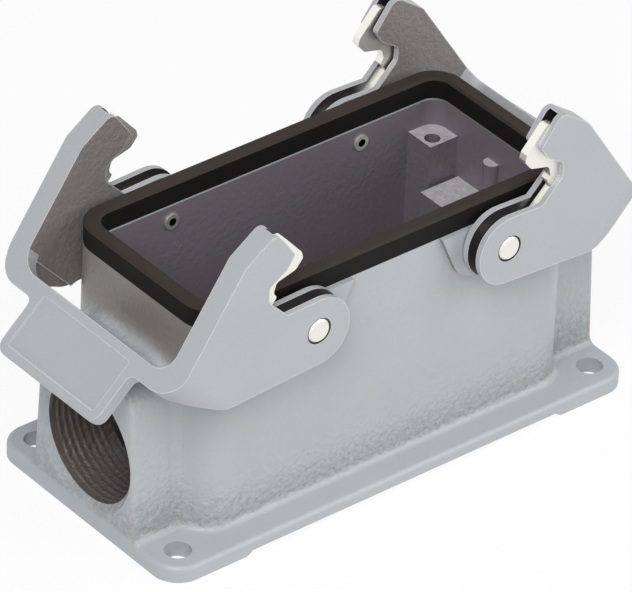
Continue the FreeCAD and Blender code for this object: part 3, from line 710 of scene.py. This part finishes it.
@dataclass(frozen=True)
class BrightSteel:
    """Stainless steel, turned or stamped: nearly white, with fine lines that soften its shine.

    The eye sees a pale, broad glint. The pins' metallic share is under one to match how pale
    they look where they face the dark cavity.
    """

    name: str
    colour: str = "#F1EFEA"
    second: str = "#E4E2DC"
    metallic: float = 1.0
    roughness: float = 0.3
    roughness_spread: float = 0.12
    # Turning lines are nearer 0.1 mm apart: they are drawn three times as coarse, so that they show.
    lines: Pattern = Pattern(0.3)
    line_depth_mm: float = 0.004
    # Painted shade: the dark colour inside the bore of a pin's peened end.
    hollow: str = "#17151A"
    hollow_mm: float = 0.0

    def in_pin_bore_shade(self, surface: Surface) -> Source:
        """One inside the bore of a pin's peened end, where the colour is darkened as painted shade.

        Args:
            surface: The material in the making.

        Returns:
            The mask.
        """
        low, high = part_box(f"{Piece.PIN.value}_right_front")
        within = surface.add("Math", BELOW, {0: surface.from_pin().reach, 1: self.hollow_mm * MM})
        reach = surface.add("Math", SIZE_OF, {0: surface.axes["Y"]})
        inner = surface.add("Math", BELOW, {0: reach, 1: abs(low.y + high.y) / 2})
        return surface.add("Math", TIMES, {0: within, 1: inner})

    def material(self) -> bpy.types.Material:
        """Builds the finish's shader.

        Returns:
            The material.
        """
        surface = Surface(self.name)
        lines = surface.add("TexNoise", inputs=self.lines.values() | surface.here)
        height = surface.add("Math", TIMES, {0: lines, 1: self.line_depth_mm * MM})
        spread = surface.add("Math", TIMES, {0: lines, 1: self.roughness_spread})
        roughness = surface.add("Math", PLUS, {0: spread, 1: self.roughness})
        mix = {"Factor": lines, 6: self.colour, 7: self.second}
        colour = surface.add("Mix", COLOURS, mix).outputs[2]
        # Painted shade inside the pins' bores.
        if self.hollow_mm:
            mix = {"Factor": self.in_pin_bore_shade(surface), 6: colour, 7: self.hollow}
            colour = surface.add("Mix", COLOURS, mix).outputs[2]
        return surface.finish(colour, height, roughness, metallic=self.metallic)


class Pieces:
    """The pieces that show: the CAD pieces, and the scene's own pieces that stand for some."""

    def __init__(self) -> None:
        """Starts with every CAD piece shown as it is."""
        self.shown: dict[str, bpy.types.Object] = dict(frame["nodes"])

    def of_kind(self, kind: Piece) -> list[bpy.types.Object]:
        """The shown pieces of one kind."""
        return [piece for name, piece in self.shown.items() if name.startswith(kind.value)]

    def replace(self, kind: Piece) -> None:
        """Puts a new piece with a mesh of its own in the place of each CAD piece of one kind.

        Only such a piece is given another shape: a CAD piece keeps its own.

        Args:
            kind: The kind of piece.
        """
        for name, node in frame["nodes"].items():
            if not name.startswith(kind.value):
                continue
            piece = bpy.data.objects.new(f"{name}_finished", node.data.copy())
            bpy.context.scene.collection.objects.link(piece)
            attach(piece, body_of(name))
            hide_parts(name)
            self.shown[name] = piece
            log.info("%s stands for %s", piece.name, name)

    def dress(self, kind: Piece, material: bpy.types.Material) -> None:
        """Gives every shown piece of one kind its finish.

        Args:
            kind: The kind of piece.
            material: The finish.
        """
        for piece in self.of_kind(kind):
            piece.data.materials.clear()
            piece.data.materials.append(material)
            log.info("%s is %s", piece.name, material.name)


@dataclass
class CornerSkin:
    """The wall's rounded corners, drawn over the edges of the columns that are cast behind them."""

    wall_mm: float = 3.4
    corner_mm: float = 7.0
    draft_degrees: float = 0.4
    reach_mm: float = 0.05

    def draw(self, casting: bpy.types.Object) -> None:
        """Pulls the columns' outer edges back to the wall's skin.

        Args:
            casting: The scene's own piece that stands for the casting.
        """
        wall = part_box(Piece.GASKET.value)[1]
        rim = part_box(Piece.CASTING.value)[1].z
        inset = self.wall_mm / 2 * MM
        edge = Vector((wall.x - inset, wall.y - inset))
        centre = Vector((wall.x - self.corner_mm * MM, wall.y - self.corner_mm * MM))
        slope = math.tan(math.radians(self.draft_degrees))
        moved = 0
        for vertex in casting.data.vertices:
            x, y, z = vertex.co
            place = Vector((abs(x), abs(y)))
            if (place - edge).length > self.reach_mm * MM:
                continue
            radius = self.corner_mm * MM + (rim - z) * slope
            place = centre + (place - centre).normalized() * radius
            vertex.co = (math.copysign(place.x, x), math.copysign(place.y, y), z)
            moved += 1
        log.info("%s has %d corner points drawn in", casting.name, moved)


@dataclass
class FaceShading:
    """Shades curved faces and the flat ones that run into them as one smooth skin."""

    join_mm: float = 0.002
    sharp_from_degrees: float = 32.0
    edge_segments: int = 2

    def group(self) -> bpy.types.NodeTree:
        """Builds the modifier's nodes.

        Returns:
            The node group, which joins the faces and marks the sharp edges.
        """
        tree = bpy.data.node_groups.new("joined_faces", "GeometryNodeTree")
        for way in ("INPUT", "OUTPUT"):
            tree.interface.new_socket("Geometry", in_out=way, socket_type="NodeSocketGeometry")
        start = add_node(tree, "NodeGroupInput")
        joined = add_node(
            tree,
            "GeometryNodeMergeByDistance",
            inputs={"Geometry": start, "Distance": self.join_mm * MM},
        )
        plain = add_node(
            tree,
            "GeometryNodeRemoveAttribute",
            inputs={"Geometry": joined, "Name": "custom_normal"},
        )
        smooth = add_node(tree, "GeometryNodeSetShadeSmooth", inputs={"Geometry": plain})
        angle = add_node(tree, "GeometryNodeInputMeshEdgeAngle")
        sharp = add_node(
            tree,
            "FunctionNodeCompare",
            {"operation": "GREATER_THAN"},
            {0: angle.outputs["Unsigned Angle"], 1: math.radians(self.sharp_from_degrees)},
        )
        marked = add_node(
            tree,
            "GeometryNodeSetShadeSmooth",
            {"domain": "EDGE"},
            {"Geometry": smooth, "Selection": sharp, "Shade Smooth": False},
        )
        add_node(tree, "NodeGroupOutput", inputs={0: marked})
        return tree

    def apply(self, pieces: Pieces, soft_edges_mm: dict[Piece, float]) -> None:
        """Gives every shown piece its shading, and the replaced kinds their soft edges.

        Args:
            pieces: The pieces that show.
            soft_edges_mm: The radius of the edges of each kind that has soft ones.
        """
        group = self.group()
        for piece in pieces.shown.values():
            piece.modifiers.new("joined_faces", "NODES").node_group = group
        for kind, radius in soft_edges_mm.items():
            for piece in pieces.of_kind(kind):
                edges = piece.modifiers.new("soft_edges", "BEVEL")
                edges.width = radius * MM
                edges.segments = self.edge_segments
                edges.limit_method = "ANGLE"
                edges.angle_limit = math.radians(self.sharp_from_degrees)
                log.info("%s has edges of %.2f mm", piece.name, radius)
        for piece in pieces.shown.values():
            piece.modifiers.new("even_shading", "WEIGHTED_NORMAL").keep_sharp = True


@dataclass
class EntryThread:
    """The crests of the cable entry's thread, a ridge that winds into the bore."""

    pitch_mm: float = 1.5
    height_mm: float = 0.15
    crest_mm: float = 0.3
    first_mm: float = -56.4
    last_mm: float = -44.6
    steps_per_turn: int = 72
    foot_share: float = 0.45
    root_mm: float = 0.05

    def build(self) -> bpy.types.Object:
        """Winds the ridge and seats it in the bore.

        Returns:
            The ridge.
        """
        entry = mount("cable_entry")
        bore = entry["dims"]["r_mm"]
        centre = Vector(entry["pos_m"]) / MM
        turns = (self.last_mm - self.first_mm) / self.pitch_mm
        count = int(turns * self.steps_per_turn)
        foot = self.pitch_mm * self.foot_share
        profile = [
            (-foot, bore + self.root_mm),
            (-self.crest_mm / 2, bore - self.height_mm),
            (self.crest_mm / 2, bore - self.height_mm),
            (foot, bore + self.root_mm),
        ]
        mesh = bmesh.new()
        rings = []
        for step in range(count + 1):
            angle = math.tau * step / self.steps_per_turn
            along = self.first_mm + self.pitch_mm * step / self.steps_per_turn
            ring = []
            for offset, radius in profile:
                across = (centre.y + radius * math.cos(angle), centre.z + radius * math.sin(angle))
                ring.append(mesh.verts.new(Vector((along + offset, *across)) * MM))
            rings.append(ring)
        for before, after in zip(rings, rings[1:]):
            for i in range(len(profile)):
                j = (i + 1) % len(profile)
                mesh.faces.new((before[i], before[j], after[j], after[i]))
        mesh.faces.new(rings[0])
        mesh.faces.new(reversed(rings[-1]))
        bmesh.ops.recalc_face_normals(mesh, faces=mesh.faces)
        data = bpy.data.meshes.new("entry_thread")
        mesh.to_mesh(data)
        mesh.free()
        ridge = bpy.data.objects.new("entry_thread", data)
        bpy.context.scene.collection.objects.link(ridge)
        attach(ridge, body_of(Piece.CASTING.value))
        log.info("entry_thread has %.1f turns", turns)
        return ridge


@dataclass
class Housing:
    """The die cast shell with its gasket, its pivot pins and the thread of its cable entry."""

    coat: CastingCoat = CastingCoat()
    rubber: MouldedRubber = MouldedRubber()
    steel: BrightSteel = BrightSteel("turned_stainless_steel", metallic=0.8, hollow_mm=0.88)
    corners: CornerSkin = field(default_factory=CornerSkin)
    thread: EntryThread = field(default_factory=EntryThread)

    def build(self, pieces: Pieces) -> None:
        """Builds and dresses every piece of the housing.

        Args:
            pieces: The pieces that show.
        """
        pieces.replace(Piece.CASTING)
        for casting in pieces.of_kind(Piece.CASTING):
            self.corners.draw(casting)
        coat = self.coat.material()
        pieces.dress(Piece.CASTING, coat)
        self.thread.build().data.materials.append(coat)
        pieces.dress(Piece.GASKET, self.rubber.material())
        pieces.dress(Piece.PIN, self.steel.material())


@dataclass
class Levers:
    """The two locking levers with their latch hooks."""

    coat: LeverCoat = LeverCoat()
    steel: BrightSteel = BrightSteel("stamped_stainless_steel", colour="#F4F3EE", roughness=0.4)
    lever_edge_mm: float = 0.35
    hook_edge_mm: float = 0.15

    def build(self, pieces: Pieces) -> None:
        """Replaces the pieces that get soft edges, and dresses them.

        Args:
            pieces: The pieces that show.
        """
        pieces.replace(Piece.LEVER)
        pieces.replace(Piece.HOOK)
        pieces.dress(Piece.LEVER, self.coat.material())
        pieces.dress(Piece.HOOK, self.steel.material())


@dataclass(frozen=True)
class Lamp:
    """One square area lamp that faces the object."""

    name: str
    place_mm: tuple[float, float, float]
    size_mm: float
    watts: float

    def hang(self, aim_mm: tuple[float, float, float]) -> None:
        """Hangs the lamp.

        Args:
            aim_mm: The point that it faces.
        """
        data = bpy.data.lights.new(self.name, "AREA")
        data.size = self.size_mm * MM
        data.energy = self.watts
        lamp = bpy.data.objects.new(self.name, data)
        bpy.context.scene.collection.objects.link(lamp)
        place = Vector(self.place_mm) * MM
        lamp.location = place
        lamp.rotation_mode = "QUATERNION"
        lamp.rotation_quaternion = (Vector(aim_mm) * MM - place).to_track_quat("-Z", "Y")


@dataclass
class Studio:
    """The floor, the lamps, the sky and the camera."""

    azimuth: float = -40.4806
    elevation: float = 34.8141
    roll: float = 2.7045
    focal_pixels: float = 7415.68
    distance_mm: float = 1454.6
    aim_mm: tuple[float, float, float] = (0.0, 0.0, 40.0)
    aim_right_mm: float = -1.42
    aim_up_mm: float = -8.85
    frame_width_pixels: int = 632
    sensor_mm: float = 36.0
    nearest_m: float = 0.05
    farthest_m: float = 20.0
    sky_strength: float = 0.31
    floor_glow: float = 0.9
    floor_paint: str = "#F6F6F6"
    floor_reach_m: float = 6.0
    lamps: tuple[Lamp, ...] = (
        Lamp("key", (-450.0, -350.0, 650.0), 450.0, 4.7),
        Lamp("fill", (500.0, -500.0, 400.0), 600.0, 2.6),
    )

    def axes(self) -> tuple[Vector, Vector, Vector]:
        """Works out how the camera stands.

        Returns:
            Its right, up and backward directions.
        """
        a, e, r = (math.radians(v) for v in (self.azimuth, self.elevation, self.roll))
        back = Vector((math.sin(a) * math.cos(e), -math.cos(a) * math.cos(e), math.sin(e)))
        level = Vector((math.cos(a), math.sin(a), 0.0))
        rise = back.cross(level)
        right = level * math.cos(r) + rise * math.sin(r)
        up = rise * math.cos(r) - level * math.sin(r)
        return right, up, back

    def build_camera(self) -> None:
        """Sets up the camera at the photograph's angle."""
        data = bpy.data.cameras.new("camera")
        camera = bpy.data.objects.new("camera", data)
        bpy.context.scene.collection.objects.link(camera)
        right, up, back = self.axes()
        aim = Vector(self.aim_mm) + right * self.aim_right_mm + up * self.aim_up_mm
        turn = Matrix((right, up, back)).transposed().to_4x4()
        camera.matrix_world = Matrix.Translation((aim + back * self.distance_mm) * MM) @ turn
        data.sensor_width = self.sensor_mm
        data.lens = self.focal_pixels * self.sensor_mm / self.frame_width_pixels
        data.clip_start = self.nearest_m
        data.clip_end = self.farthest_m
        bpy.context.scene.camera = camera

    def seen_directly(self, tree: bpy.types.NodeTree) -> Source:
        """One for what the camera, a reflection or glass sees, and nought for plain light.

        Args:
            tree: The tree of the floor's material or of the sky.

        Returns:
            The mask.
        """
        rays = add_node(tree, "ShaderNodeLightPath").outputs
        seen = rays["Is Camera Ray"]
        for other in ("Is Glossy Ray", "Is Transmission Ray"):
            seen = add_node(tree, "ShaderNodeMath", LARGER_OF, {0: seen, 1: rays[other]})
        return seen

    def build_floor(self) -> None:
        """Lays a pale floor that shows as near white and keeps the object's shadow."""
        mesh = bpy.data.meshes.new("floor")
        reach = self.floor_reach_m
        corners = [(-reach, -reach, 0), (reach, -reach, 0), (reach, reach, 0), (-reach, reach, 0)]
        mesh.from_pydata(corners, [], [(0, 1, 2, 3)])
        floor = bpy.data.objects.new("floor", mesh)
        bpy.context.scene.collection.objects.link(floor)
        material = bpy.data.materials.new("pale_floor")
        material.use_nodes = True
        tree = material.node_tree
        tree.nodes.clear()
        paper = add_node(tree, "ShaderNodeBsdfDiffuse", inputs={"Color": self.floor_paint})
        glow = add_node(tree, "ShaderNodeEmission", inputs={"Color": WHITE, "Strength": 1.0})
        seen = self.seen_directly(tree)
        share = add_node(tree, "ShaderNodeMath", TIMES, {0: seen, 1: self.floor_glow})
        mix = add_node(tree, "ShaderNodeMixShader", inputs={"Fac": share, 1: paper, 2: glow})
        add_node(tree, "ShaderNodeOutputMaterial", inputs={"Surface": mix})
        mesh.materials.append(material)

    def build_sky(self) -> None:
        """Surrounds the scene with soft even light, which shows as plain white."""
        world = bpy.data.worlds.new("sky")
        world.use_nodes = True
        tree = world.node_tree
        tree.nodes.clear()
        soft, plain = (
            add_node(tree, "ShaderNodeBackground", inputs={"Color": WHITE, "Strength": strength})
            for strength in (self.sky_strength, 1.0)
        )
        seen = self.seen_directly(tree)
        mix = add_node(tree, "ShaderNodeMixShader", inputs={"Fac": seen, 1: soft, 2: plain})
        add_node(tree, "ShaderNodeOutputWorld", inputs={"Surface": mix})
        bpy.context.scene.world = world

    def build(self) -> None:
        """Builds the whole studio."""
        self.build_floor()
        self.build_sky()
        for lamp in self.lamps:
            lamp.hang(self.aim_mm)
        self.build_camera()
        bpy.context.scene.view_settings.view_transform = "Standard"


def main() -> None:
    """Builds and dresses the whole scene."""
    logging.basicConfig(level=logging.INFO, format="%(message)s")
    pieces = Pieces()
    Housing().build(pieces)
    levers = Levers()
    levers.build(pieces)
    FaceShading().apply(pieces, {Piece.LEVER: levers.lever_edge_mm, Piece.HOOK: levers.hook_edge_mm})
    Studio().build()


if __name__ == "__main__":
    main()
